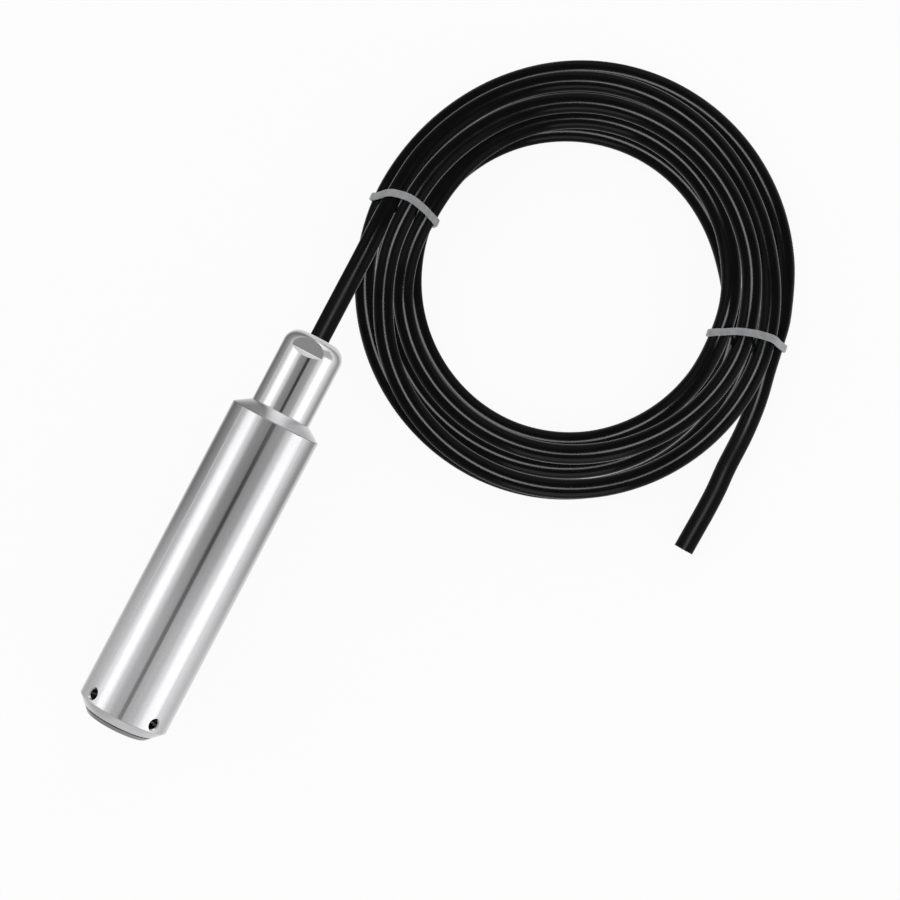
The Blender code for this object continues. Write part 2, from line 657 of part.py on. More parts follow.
def strap_mesh(name, width, height, corner):
    """The strap as an extruded band, from a flat outline with a hole in it, made a mesh to take a head."""
    curve = bpy.data.curves.new(name, "CURVE")
    curve.dimensions = "2D"
    curve.fill_mode = "BOTH"
    curve.extrude = TIE_WIDTH / 2
    for grow in (0, TIE_THICK):
        outline = rounded_outline(width + 2 * grow, height + 2 * grow, corner + grow, ARC_STEPS)
        spline = curve.splines.new("POLY")
        spline.points.add(len(outline) - 1)
        spline.use_cyclic_u = True
        for target, (x, y) in zip(spline.points, outline):
            target.co = (x, y, 0, 1)
    guide = bpy.data.objects.new(name, curve)
    bpy.context.scene.collection.objects.link(guide)
    graph = bpy.context.evaluated_depsgraph_get()
    mesh = bpy.data.meshes.new_from_object(guide.evaluated_get(graph))
    bpy.data.objects.remove(guide, do_unlink=True)
    bm = bmesh.new()
    bm.from_mesh(mesh)
    bmesh.ops.remove_doubles(bm, verts=bm.verts, dist=WELD)
    bmesh.ops.recalc_face_normals(bm, faces=bm.faces)
    bm.to_mesh(mesh)
    bm.free()
    return mesh


def build_tie(index, angle, parts, cutters):
    """A cable tie round the coil: its strap, and its head under the coil, on which the coil stands."""
    place = Matrix.Translation((COIL_X, COIL_Y, COIL_MID_Z)) @ Matrix.Rotation(angle, 4, "Z")
    place = place @ Matrix.Translation((COIL_MID_R, 0, 0)) @ Matrix.Rotation(math.pi / 2, 4, "X")
    mesh = strap_mesh("tie_strap", COIL_WIDTH + 2 * CLEAR, COIL_HEIGHT + 2 * CLEAR, COIL_CORNER + CLEAR)
    tie = add_object(f"cable_tie_{index + 1}", mesh, parts, None, "tie_nylon")
    tie.matrix_world = place
    middle = TIE_HEAD_HEIGHT / 2 - COIL_MID_Z
    head = box((TIE_HEAD, TIE_HEAD_HEIGHT, TIE_HEAD), Matrix.Translation((0, middle, 0)))
    tool = cutter(f"tie_head_{index + 1}", head, cutters, None)
    tool.matrix_world = place
    cut(tie, tool, "UNION")


def apply_modifiers(parts):
    """Each mesh as its modifiers make it, shaded smooth but for its sharp edges."""
    bpy.context.view_layer.update()
    graph = bpy.context.evaluated_depsgraph_get()
    meshes = [obj for obj in parts.objects if obj.type == "MESH"]
    made = [bpy.data.meshes.new_from_object(obj.evaluated_get(graph)) for obj in meshes]
    for obj, mesh in zip(meshes, made):
        obj.modifiers.clear()
        obj.data = mesh
        mesh.shade_smooth()
        mesh.set_sharp_from_angle(angle=SHARP_ANGLE)


def main():
    clear_scene()
    parts = new_collection("level_transmitter")
    cutters = new_collection("cutters")
    axis = add_object("probe_axis", None, parts)
    axis.location = (0, -PROBE_LENGTH / 2, BODY_R)
    axis.rotation_euler = (-math.pi / 2, 0, 0)
    build_housing(parts, cutters, axis)
    build_nose_plug(parts, cutters, axis)
    build_cable_head(parts, cutters, axis)
    build_sensor(parts, cutters, axis)
    build_gland(parts, axis)
    build_electronics(parts, cutters, axis)
    build_inner_wires(parts, axis)
    build_cable(parts)
    for i, angle in enumerate(TIE_ANGLES):
        build_tie(i, angle, parts, cutters)
    apply_modifiers(parts)


main()
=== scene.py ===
"""Looks of the submersible level transmitter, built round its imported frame.

Metres, +Z up. The probe lies along Y, nose at -Y, and its cable is wound into a tied coil at +X.
"""

import json
import math

import bmesh
import bpy
import numpy
from mathutils import Matrix, Vector


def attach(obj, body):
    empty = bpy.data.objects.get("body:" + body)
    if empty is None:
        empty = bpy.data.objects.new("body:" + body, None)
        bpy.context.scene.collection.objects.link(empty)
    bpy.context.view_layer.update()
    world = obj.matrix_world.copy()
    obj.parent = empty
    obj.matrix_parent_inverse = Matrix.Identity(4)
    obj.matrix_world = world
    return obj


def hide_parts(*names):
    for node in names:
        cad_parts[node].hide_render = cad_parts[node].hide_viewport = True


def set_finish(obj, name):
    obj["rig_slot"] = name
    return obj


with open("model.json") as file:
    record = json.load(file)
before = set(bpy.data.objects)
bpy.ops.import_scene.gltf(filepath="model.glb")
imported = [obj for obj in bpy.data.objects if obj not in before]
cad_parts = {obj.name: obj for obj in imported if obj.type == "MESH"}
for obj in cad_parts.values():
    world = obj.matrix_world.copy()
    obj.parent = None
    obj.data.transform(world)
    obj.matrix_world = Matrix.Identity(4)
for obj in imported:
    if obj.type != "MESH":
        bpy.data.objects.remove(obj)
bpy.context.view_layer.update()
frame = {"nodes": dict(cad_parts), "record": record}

MM = 0.001
CLEAR = 0.0003
WELD = 0.00001
SHARP_ANGLE = math.radians(24)

# Camera: straight above the middle of the picture, turned so that the probe leans to the right
CAMERA_PLACE = (0.0493, 0.0531, 0.606)
CAMERA_TURN = math.radians(27.72)
CAMERA_LENS = 80.35
SENSOR_WIDTH = 36.0

# Probe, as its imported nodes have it
BODY_R = 0.0140
BODY_LENGTH = 0.0964
NOSE_CHAMFER = 0.0044
SHOULDER_RISE = 0.0031
NECK_R = 0.0093
NECK_LENGTH = 0.0247
NECK_FILLET = 0.0047
WRENCH_WIDTH = 0.0158
WRENCH_HEIGHT = 0.0194
WRENCH_TURN = math.radians(6)
PORT_COUNT = 4
PORT_R = 0.0016
PORT_RISE = 0.0025
PORT_STATION = NOSE_CHAMFER + PORT_RISE
PORT_TURN = math.radians(48)
PORT_DEBURR = 0.00038
PORT_DEBURR_DEPTH = PORT_DEBURR + 0.0001
PLUG_FLANGE = 0.0013
PLUG_THREAD = 0.0033
PLUG_EDGE = 0.0004
KEY_R = 0.00125
KEY_DEPTH = 0.0020
KEY_RADIUS = 0.0060
KEY_DEBURR = 0.00025
NOSE_LIP = 0.0012
HOUSING_WALL = 0.0022
SENSOR_STEP = 0.0002
PORT_MARGIN = 0.0005
LOCK_RING_HEIGHT = 0.0025
SENSOR_LENGTH = 0.0140
SEAT_HEIGHT = 0.0025
SEAT_WIDTH = 0.0016
SEAM = 0.00001
SPIGOT_LENGTH = 0.0140
SPIGOT_WALL = 0.0030
GROOVE_DROP = 0.0045
GROOVE_DEPTH = 0.0016
GROOVE_WIDTH = 0.0021
GLAND_R = 0.0064
GLAND_ROOF = 0.0095
GLAND_DROP = 0.0010

# How far the edges of the turned pieces are rounded
SHOULDER_EDGE = 0.00022
CHAMFER_EDGE = 0.00018
FOOT_EDGE = 0.00012
FLANGE_EDGE = 0.0001
DOME_EDGE = 0.0002
NECK_EDGE = 0.00035
HEAD_EDGE = 0.00012
EDGE_STEPS = 4

LOCK_RING_FOOT = PORT_STATION + PORT_R + PORT_MARGIN
SENSOR_FRONT = LOCK_RING_FOOT + LOCK_RING_HEIGHT + CLEAR
SEAT_FOOT = SENSOR_FRONT + SENSOR_LENGTH + CLEAR
SEAT_TOP = SEAT_FOOT + SEAT_HEIGHT
HOUSING_TOP = NOSE_CHAMFER + BODY_LENGTH
NECK_FOOT = HOUSING_TOP + SHOULDER_RISE
PROBE_LENGTH = NECK_FOOT + NECK_LENGTH
HOUSING_FOOT = PLUG_FLANGE + CLEAR
PLUG_FACE_R = BODY_R - NOSE_CHAMFER
CHAMBER_R = PLUG_FACE_R + HOUSING_FOOT - NOSE_LIP
CAVITY_R = BODY_R - HOUSING_WALL
SENSOR_SEAT_R = CHAMBER_R - SENSOR_STEP
SPIGOT_R = CAVITY_R - CLEAR
PROBE_AXIS = Matrix.Translation((0, -PROBE_LENGTH / 2, BODY_R)) @ Matrix.Rotation(-math.pi / 2, 4, "X")
TURNED_SIDES = 192
HOLE_SIDES = 48
CORE_SIDES = 24

# Cable
CABLE_R = 0.0030
CABLE_BORE_R = CABLE_R + CLEAR
CABLE_STEP = 0.0024
CABLE_SIDES = 24
LEAD_ROUTE = (
    (0.0000, 0.0626, 0.0140),
    (0.0000, 0.0670, 0.0140),
    (0.0000, 0.0720, 0.0140),
    (0.0000, 0.0812, 0.0138),
    (0.0000, 0.0910, 0.0134),
    (-0.0001, 0.1010, 0.0130),
)
TAIL_ROUTE = (
    (0.12175, 0.1175, 0.00665),
    (0.12360, 0.1085, 0.00640),
    (0.12465, 0.0984, 0.00580),
    (0.12500, 0.0870, 0.00400),
    (0.12550, 0.0800, 0.00350),
    (0.12560, 0.0730, 0.00310),
    (0.12540, 0.0660, 0.00305),
    (0.12520, 0.0592, 0.00305),
)
# Cut end: the middles of what it shows, across and up
RED_CORE = (-0.00090, 0.00040)
BLACK_CORE = (0.00090, 0.00040)
BREATHER = (0.0, -0.00095)
# Its pieces: name, slot, then middle, radius and how far it stands proud for each of its discs
CUT_END = (
    ("cut_core_red", "core_red", ((*RED_CORE, 0.00070, 0.00004),)),
    ("cut_core_black", "core_black", ((*BLACK_CORE, 0.00070, 0.00004),)),
    ("cut_wires", "crimp_copper", ((*RED_CORE, 0.00036, 0.00008), (*BLACK_CORE, 0.00036, 0.00008))),
    ("cut_breather", "vent_clear", ((*BREATHER, 0.00060, 0.00004),)),
    ("cut_breather_bore", "seal_rubber", ((*BREATHER, 0.00034, 0.00008),)),
)
TAIL_ANGLE = 174  # of the last place of the coil, in degrees from the first tie

# Coil. Each turn is a row of (degrees clockwise from the first tie, millimetres inside the coil's edge)
COIL_CENTRE = (0.0588, 0.1149)
COIL_EDGE = 0.0651
COIL_START = math.radians(184)
TURN_POINTS = 120
ROUTE_POINTS = 24
TURNS = (
    ((0, 7.2), (30, 6.6), (66, 5.4), (90, 5.6), (111, 6.6), (130, 7.6), (150, 8.9), (174, 6.4), (205, 4.2),
     (225, 3.9), (246, 3.0), (270, 2.6), (291, 3.0), (310, 4.4), (322, 6.2), (335, 9.0), (345, 11.2)),
    ((0, 13.8), (30, 13.4), (66, 13.0), (90, 13.0), (111, 13.6), (130, 14.0), (150, 14.2), (174, 12.4),
     (190, 12.0), (205, 12.5), (225, 13.4), (246, 13.8), (270, 13.8), (291, 13.5), (310, 13.2), (322, 13.0),
     (345, 12.9)),
    ((0, 17.8), (30, 17.2), (66, 16.7), (90, 16.9), (111, 17.3), (130, 17.7), (150, 18.0), (165, 18.2),
     (174, 18.4), (190, 18.6), (205, 18.3), (225, 18.0), (246, 17.0), (270, 16.2), (291, 16.2), (310, 16.6),
     (330, 16.6), (345, 16.0)),
    ((0, 16.2), (25, 17.6), (66, 19.6), (90, 20.2), (111, 20.0), (130, 20.0), (150, 20.1), (170, 17.8),
     (205, 11.6), (225, 9.4), (246, 8.9), (270, 8.6), (291, 8.0), (330, 7.8)),
    ((0, 9.4), (66, 8.6), (90, 9.2), (111, 9.8), (150, 10.8), (174, 9.6), (205, 5.8), (225, 4.4), (246, 2.5),
     (270, 2.1), (291, 2.0), (330, 2.1), (345, 2.4)),
    ((0, 4.2), (30, 3.3), (48, 2.3), (66, 1.2), (90, 0.6), (111, 0.4), (130, 0.8), (150, 1.4), (174, 3.4)),
)
DEPTH_SMOOTHING = 24
SUPPORT_RISE = 0.00375  # of the coil's underside on the heads of the ties
SUPPORT_REACH = 24  # degrees

# The first places of the coil, where the lead comes down to it from the head
START_POINTS = 7
START_HEIGHT = 0.0126

# Settling of the turns: the last rounds only push them apart
SETTLE_ROUNDS = 260
CALM_ROUNDS = 20
HOME_SHARE = 0.02
SINK = 0.01 * MM
TURN_SPACING = 2 * CABLE_R * 1.004
PUSH_SHARE = 0.45

# Ties: angle, then the strap's sideways bow over the coil from its outer to its inner end, in millimetres
TIES = (
    (math.radians(184.0), ((0, -1.2), (0.25, 2.1), (0.44, 2.1), (0.63, 1.6), (0.82, 0.7), (1, -1.2)), -1),
    (math.radians(9.5), ((0, 0.5), (0.23, 1.5), (0.47, 1.2), (0.68, 0.3), (0.9, -1.6), (1, -2.6)), 1),
)
STRAP_WIDTH = 0.0022
STRAP_THICK = 0.0010
STRAP_EDGE = 0.00028
STRAP_GAP = 0.00004
STRAP_POINTS = 160
STRAP_SMOOTHING = 10
STRAP_CORNER_STEPS = 3
CABLE_OUTLINE_POINTS = 48
TIE_HEAD = (0.0046, 0.0046, 0.0029)
TIE_HEAD_EDGE = 0.0005


def set_camera():
    camera = bpy.data.objects.new("camera", bpy.data.cameras.new("camera"))
    bpy.context.scene.collection.objects.link(camera)
    camera.location = CAMERA_PLACE
    camera.rotation_euler = (0, 0, CAMERA_TURN)
    camera.data.lens = CAMERA_LENS
    camera.data.sensor_width = SENSOR_WIDTH
    camera.data.clip_start = 0.01
    bpy.context.scene.camera = camera


def add_piece(name, data, slot_name, *nodes):
    """A visible piece on the only body, in the finish of one slot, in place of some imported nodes."""
    piece = bpy.data.objects.new(name, data)
    bpy.context.scene.collection.objects.link(piece)
    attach(piece, "root")
    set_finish(piece, slot_name)
    if nodes:
        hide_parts(*nodes)
    return piece


def mesh_of(name, bm):
    mesh = bpy.data.meshes.new(name)
    bm.to_mesh(mesh)
    bm.free()
    return mesh


def smooth_curve(points, step):
    """Points at most a step apart on a smooth curve through the given ones."""
    route = [Vector(point) for point in points]
    ends = [2 * route[0] - route[1], *route, 2 * route[-1] - route[-2]]
    found = []
    for before, start, end, after in zip(ends, ends[1:], ends[2:], ends[3:]):
        count = max(1, math.ceil((end - start).length / step))
        for i in range(count):
            t = i / count
            found.append(
                0.5
                * (
                    2 * start
                    + (end - before) * t
                    + (2 * before - 5 * start + 4 * end - after) * t**2
                    + (3 * start - before - 3 * end + after) * t**3
                )
            )
    return [*found, route[-1]]


# The coil's turns

def wound_path():
    """The depth inside the coil's edge of every place along its turns, in metres."""
    places = [(360 * turn + angle, depth) for turn, row in enumerate(TURNS) for angle, depth in row]
    at, depth = zip(*places)
    count = round(at[-1] * TURN_POINTS / 360) + 1
    angles = numpy.arange(count) * 360 / TURN_POINTS
    return angles, smoothed(numpy.interp(angles, at, depth) * MM, DEPTH_SMOOTHING)


def smoothed(values, rounds):
    """Values evened out along a row whose ends stay."""
    for _ in range(rounds):
        inner = (values[:-2] + 2 * values[1:-1] + values[2:]) / 4
        values = numpy.concatenate([values[:1], inner, values[-1:]])
    return values


def support(angles):
    """The height of the cable's centre where it lies on the floor or, near a tie, on the tie's head."""
    height = numpy.full(len(angles), CABLE_R)
    for tie_angle in (0, TAIL_ANGLE):
        away = (angles - tie_angle + 180) % 360 - 180
        height += SUPPORT_RISE * numpy.exp(-((away / SUPPORT_REACH) ** 2))
    return height


def stacked(depth, floor):
    """Heights of the turns when the last is laid first, and each next one on those below."""
    diameter = 2 * CABLE_R
    height = floor.copy()
    for i in range(len(depth) - 1, -1, -1):
        for other in range(i + TURN_POINTS, len(depth), TURN_POINTS):
            apart = abs(depth[other] - depth[i])
            if apart < diameter:
                height[i] = max(height[i], height[other] + math.sqrt(diameter**2 - apart**2))
    return height


def settled(depth, height, floor):
    """Smooths the turns, and pushes apart those that are closer than a diameter."""
    home = depth.copy()
    count = len(depth)
    for step in range(SETTLE_ROUNDS):
        if step < SETTLE_ROUNDS - CALM_ROUNDS:
            depth = smoothed(depth, 1) * (1 - HOME_SHARE) + home * HOME_SHARE
            height = smoothed(height, 1) - SINK
        for lag in range(TURN_POINTS, count, TURN_POINTS):
            near, far = slice(0, count - lag), slice(lag, count)
            across = depth[far] - depth[near]
            up = height[far] - height[near]
            apart = numpy.maximum(numpy.hypot(across, up), WELD)
            push = numpy.maximum(0, TURN_SPACING - apart) * PUSH_SHARE / apart
            depth[near] -= push * across
            depth[far] += push * across
            height[near] -= push * up
            height[far] += push * up
        height = numpy.maximum(height, floor)
    return depth, height


def wind_coil():
    angles, depth = wound_path()
    floor = support(angles)
    height = stacked(depth, floor)
    height[:START_POINTS] = START_HEIGHT
    depth, height = settled(depth, height, floor)
    return angles, depth, height


def coil_place(angle, depth, height):
    turn = COIL_START - math.radians(angle)
    radius = COIL_EDGE - depth
    return (COIL_CENTRE[0] + radius * math.cos(turn), COIL_CENTRE[1] + radius * math.sin(turn), height)


def build_cable(angles, depth, height):
    """The one cable, from its bore in the head, round the coil and out to its free end."""
    skip = TURN_POINTS // ROUTE_POINTS
    kept = list(range(0, len(angles) - skip // 2, skip))
    wound = [coil_place(angles[i], depth[i], height[i]) for i in (*kept, len(angles) - 1)]
    route = smooth_curve((*LEAD_ROUTE, *wound, *TAIL_ROUTE), CABLE_STEP)
    bm = bmesh.new()
    rings = []
    side = Vector((1, 0, 0))
    for before, point, after in zip([route[0], *route], route, [*route[1:], route[-1]]):
        along = (after - before).normalized()
        side = (side - along * side.dot(along)).normalized()
        other = along.cross(side)
        ring = []
        for k in range(CABLE_SIDES):
            angle = math.tau * k / CABLE_SIDES
            ring.append(bm.verts.new(point + CABLE_R * (side * math.cos(angle) + other * math.sin(angle))))
        rings.append(ring)
    for first, second in zip(rings, rings[1:]):
        for k in range(CABLE_SIDES):
            face = bm.faces.new((first[k], first[k - 1], second[k - 1], second[k]))
            face.smooth = True
    bm.faces.new(rings[0])
    bm.faces.new(rings[-1][::-1])
    bmesh.ops.recalc_face_normals(bm, faces=bm.faces)
    mesh = mesh_of("cable", bm)
    mesh.set_sharp_from_angle(angle=SHARP_ANGLE)
    return add_piece("cable", mesh, "cable_sheath", "cable_lead", "cable_coil", "cable_tail"), route


def build_cut_end(route):
    """What the square cut shows, a hair proud of it: two cores with their wires, and the breather tube."""
    along = (route[-1] - route[-2]).normalized()
    place = Matrix.Translation(route[-1]) @ along.to_track_quat("Z", "X").to_matrix().to_4x4()
    made = []
    for name, slot_name, spots in CUT_END:
        bm = bmesh.new()
        for x, y, radius, proud in spots:
            bmesh.ops.create_cone(
                bm,
                cap_ends=True,
                segments=CORE_SIDES,
                radius1=radius,
                radius2=radius,
                depth=proud,
                matrix=place @ Matrix.Translation((x, y, proud / 2)),
            )
        made.append(add_piece(name, mesh_of(name, bm), slot_name))
    return made


# Ties

def hull(points):
    """The convex outline of some points, anticlockwise."""
    ordered = sorted(set(points))
    chains = []
    for run in (ordered, ordered[::-1]):
        chain = []
        for point in run:
            while len(chain) > 1 and turn_of(chain[-2], chain[-1], point) <= 0:
                chain.pop()
            chain.append(point)
        chains += chain[:-1]
    return chains


def turn_of(a, b, c):
    """Above zero where the way from a over b to c turns left."""
    return (b[0] - a[0]) * (c[1] - a[1]) - (b[1] - a[1]) * (c[0] - a[0])


def evenly(outline, count):
    """Points at even distances along a closed outline."""
    closed = numpy.array([*outline, outline[0]])
    along = numpy.concatenate([[0], numpy.cumsum(numpy.hypot(*numpy.diff(closed, axis=0).T))])
    at = numpy.arange(count) * along[-1] / count
    return numpy.interp(at, along, closed[:, 0]), numpy.interp(at, along, closed[:, 1])


def strap_section():
    """A flat band with rounded edges, as (sideways, outwards) points."""
    half = STRAP_WIDTH / 2 - STRAP_EDGE
    thick = STRAP_THICK - STRAP_EDGE
    corners = ((half, thick, 0), (-half, thick, 90), (-half, STRAP_EDGE, 180), (half, STRAP_EDGE, 270))
    found = []
    for x, y, start in corners:
        for i in range(STRAP_CORNER_STEPS + 1):
            angle = math.radians(start + 90 * i / STRAP_CORNER_STEPS)
            found.append((x + STRAP_EDGE * math.cos(angle), y + STRAP_EDGE * math.sin(angle)))
    return found


def build_tie(number, angle, bow, side, coil):
    """A tie drawn tight round the turns that pass it, with its head beneath."""
    angles, depth, height = coil
    at = math.degrees(COIL_START - angle) % 360
    circles = []
    for i in range(round(at * TURN_POINTS / 360) % TURN_POINTS, len(angles), TURN_POINTS):
        circles.append((COIL_EDGE - depth[i], height[i]))
    reach = CABLE_R + STRAP_GAP
    rim = []
    for r, z in circles:
        for k in range(CABLE_OUTLINE_POINTS):
            a = math.tau * k / CABLE_OUTLINE_POINTS
            rim.append((r + reach * math.cos(a), z + reach * math.sin(a)))
    radius, level = evenly(hull(rim), STRAP_POINTS)
    along = numpy.stack([numpy.roll(values, -1) - numpy.roll(values, 1) for values in (radius, level)])
    along = along / numpy.hypot(*along)
    out_r, out_z = along[1], -along[0]
    share = (radius.max() - radius) / (radius.max() - radius.min())
    lift = numpy.clip((level - level.min()) / (level.max() - level.min()), 0, 1)
    bow_at, bow_by = zip(*bow)
    over = numpy.interp(share, bow_at, bow_by)
    under = bow_by[0] + (bow_by[-1] - bow_by[0]) * share
    shift = (under + (over - under) * lift) * side * MM
    for _ in range(STRAP_SMOOTHING):
        shift = (numpy.roll(shift, 1) + 2 * shift + numpy.roll(shift, -1)) / 4
    place = Matrix.Translation((*COIL_CENTRE, 0)) @ Matrix.Rotation(angle, 4, "Z")
    bm = bmesh.new()
    rings = []
    for r, z, o_r, o_z, s in zip(radius, level, out_r, out_z, shift):
        ring = [place @ Vector((r + o_r * n, s + w, z + o_z * n)) for w, n in strap_section()]
        rings.append([bm.verts.new(point) for point in ring])
    count = len(rings[0])
    for first, second in zip(rings, rings[1:] + rings[:1]):
        for k in range(count):
            bm.faces.new((first[k], first[(k + 1) % count], second[(k + 1) % count], second[k]))
    bottom = shift[int(numpy.argmin(level + abs(share - 0.5) * MM))]
    head = place @ Matrix.Translation(((radius.max() + radius.min()) / 2, bottom, TIE_HEAD[2] / 2))
    made = bmesh.ops.create_cube(bm, size=1, matrix=head @ Matrix.Diagonal((*TIE_HEAD, 1)))
    edges = {edge for vert in made["verts"] for edge in vert.link_edges}
    bmesh.ops.bevel(bm, geom=list(edges), offset=TIE_HEAD_EDGE, segments=3, affect="EDGES", profile=0.5)
    bmesh.ops.recalc_face_normals(bm, faces=bm.faces)
    for face in bm.faces:
        face.smooth = True
    name = f"tie_{number}"
    tie = add_piece(name, mesh_of(name, bm), "tie_nylon", f"cable_tie_{number}")
    tie.data.set_sharp_from_angle(angle=SHARP_ANGLE)
    return tie


# Turned steel pieces

def arc(centre, radius, start, end, steps):
    """Points on an arc between two angles in degrees."""
    found = []
    for i in range(steps + 1):
        angle = math.radians(start + (end - start) * i / steps)
        found.append((centre[0] + radius * math.cos(angle), centre[1] + radius * math.sin(angle)))
    return found


def eased(profile, closed):
    """A profile of (radius, station, edge) with each corner that gives an edge rounded by it."""
    points = [Vector(point[:2]) for point in profile]
    found = []
    count = len(points)
    for i, (point, entry) in enumerate(zip(points, profile)):
        ease = entry[2] if len(entry) > 2 else 0
        inner = closed or 0 < i < count - 1
        if not ease or not inner:
            found.append(tuple(point))
            continue
        start = point + (points[i - 1] - point).normalized() * ease
        end = point + (points[(i + 1) % count] - point).normalized() * ease
        for k in range(EDGE_STEPS + 1):
            t = k / EDGE_STEPS
            found.append(tuple((1 - t) ** 2 * start + 2 * t * (1 - t) * point + t**2 * end))
    return found


def turned_mesh(name, profile, closed):
    """A profile turned about the probe's axis, as rings of points."""
    bm = bmesh.new()
    rings = []
    for radius, station in profile:
        if radius < WELD:
            rings.append([bm.verts.new((0, 0, station))])
            continue
        ring = []
        for k in range(TURNED_SIDES):
            angle = math.tau * k / TURNED_SIDES
            ring.append(bm.verts.new((radius * math.cos(angle), radius * math.sin(angle), station)))
        rings.append(ring)
    pairs = list(zip(rings, rings[1:]))
    if closed:
        pairs.append((rings[-1], rings[0]))
    for first, second in pairs:
        join_rings(bm, first, second)
    bmesh.ops.recalc_face_normals(bm, faces=bm.faces)
    return mesh_of(name, bm)


def join_rings(bm, first, second):
    """Faces between two rings, either of which may be a single point on the axis."""
    if len(first) == 1 and len(second) == 1:
        return
    for k in range(TURNED_SIDES):
        after = (k + 1) % TURNED_SIDES
        if len(first) == 1:
            bm.faces.new((first[0], second[k], second[after]))
        elif len(second) == 1:
            bm.faces.new((first[k], second[0], first[after]))
        else:
            bm.faces.new((first[k], second[k], second[after], first[after]))


def drill(sections):
    """A round cutter about Z through (radius, height) sections."""
    bm = bmesh.new()
    rings = []
    for radius, height in sections:
        ring = []
        for k in range(HOLE_SIDES):
            angle = math.tau * k / HOLE_SIDES
            ring.append(bm.verts.new((radius * math.cos(angle), radius * math.sin(angle), height)))
        rings.append(ring)
    for first, second in zip(rings, rings[1:]):
        for k in range(HOLE_SIDES):
            after = (k + 1) % HOLE_SIDES
            bm.faces.new((first[k], first[after], second[after], second[k]))
    bm.faces.new(rings[0][::-1])
    bm.faces.new(rings[-1])
    bmesh.ops.recalc_face_normals(bm, faces=bm.faces)
    return bm


def carved(mesh, cutters):
    """The mesh less its cutters, in the probe's place, smooth but for its sharp edges."""
    body = bpy.data.objects.new("blank", mesh)
    bpy.context.scene.collection.objects.link(body)
    tools = []
    for bm, place in cutters:
        tool = bpy.data.objects.new("tool", mesh_of("tool", bm))
        bpy.context.scene.collection.objects.link(tool)
        tool.matrix_world = place
        tools.append(tool)
        cut = body.modifiers.new("cut", "BOOLEAN")
        cut.operation = "DIFFERENCE"
        cut.solver = "EXACT"
        cut.object = tool
    bpy.context.view_layer.update()
    graph = bpy.context.evaluated_depsgraph_get()
    made = bpy.data.meshes.new_from_object(body.evaluated_get(graph))
    for obj in (body, *tools):
        bpy.data.objects.remove(obj, do_unlink=True)
    made.transform(PROBE_AXIS)
    made.shade_smooth()
    made.set_sharp_from_angle(angle=SHARP_ANGLE)
    return made


def build_housing():
    foot_r = PLUG_FACE_R + HOUSING_FOOT
    profile = (
        (CAVITY_R, HOUSING_TOP),
        (BODY_R, HOUSING_TOP, SHOULDER_EDGE),
        (BODY_R, NOSE_CHAMFER, CHAMFER_EDGE),
        (foot_r, HOUSING_FOOT, FOOT_EDGE),
        (CHAMBER_R, HOUSING_FOOT),
        (CHAMBER_R, SENSOR_FRONT - CLEAR),
        (SENSOR_SEAT_R, SENSOR_FRONT - CLEAR),
        (SENSOR_SEAT_R, SEAT_FOOT),
        (SENSOR_SEAT_R - CLEAR - SEAT_WIDTH, SEAT_FOOT),
        (SENSOR_SEAT_R - CLEAR - SEAT_WIDTH, SEAT_TOP),
        (CAVITY_R, SEAT_TOP),
    )
    wall = BODY_R - CHAMBER_R
    sections = (
        (PORT_R, -wall - CLEAR),
        (PORT_R, -PORT_DEBURR_DEPTH),
        (PORT_R + PORT_DEBURR, 0),
        (PORT_R + PORT_DEBURR, 2 * MM),
    )
    cutters = []
    for i in range(PORT_COUNT):
        turn = PORT_TURN - math.pi / 2 + math.tau * i / PORT_COUNT
        place = Matrix.Rotation(turn, 4, "Z") @ Matrix.Translation((BODY_R, 0, PORT_STATION))
        cutters.append((drill(sections), place @ Matrix.Rotation(math.pi / 2, 4, "Y")))
    mesh = carved(turned_mesh("housing", eased(profile, True), True), cutters)
    return add_piece("housing", mesh, "housing_steel", "housing_tube")


def build_plug():
    thread_r = CHAMBER_R - CLEAR
    rim = arc((PLUG_FACE_R - PLUG_EDGE / 4, PLUG_EDGE), PLUG_EDGE, -35, -90, 6)
    profile = (
        (0, PLUG_FLANGE + PLUG_THREAD),
        (thread_r, PLUG_FLANGE + PLUG_THREAD),
        (thread_r, PLUG_FLANGE),
        (PLUG_FACE_R + PLUG_FLANGE, PLUG_FLANGE, FLANGE_EDGE),
        *rim,
        (0, 0),
    )
    sections = (
        (KEY_R, KEY_DEPTH),
        (KEY_R, KEY_DEBURR),
        (KEY_R + KEY_DEBURR, 0),
        (KEY_R + KEY_DEBURR, -MM),
    )
    cutters = [(drill(sections), Matrix.Translation((side * KEY_RADIUS, 0, 0))) for side in (-1, 1)]
    mesh = carved(turned_mesh("plug", eased(profile, False), False), cutters)
    return add_piece("plug", mesh, "plug_steel", "nose_plug")


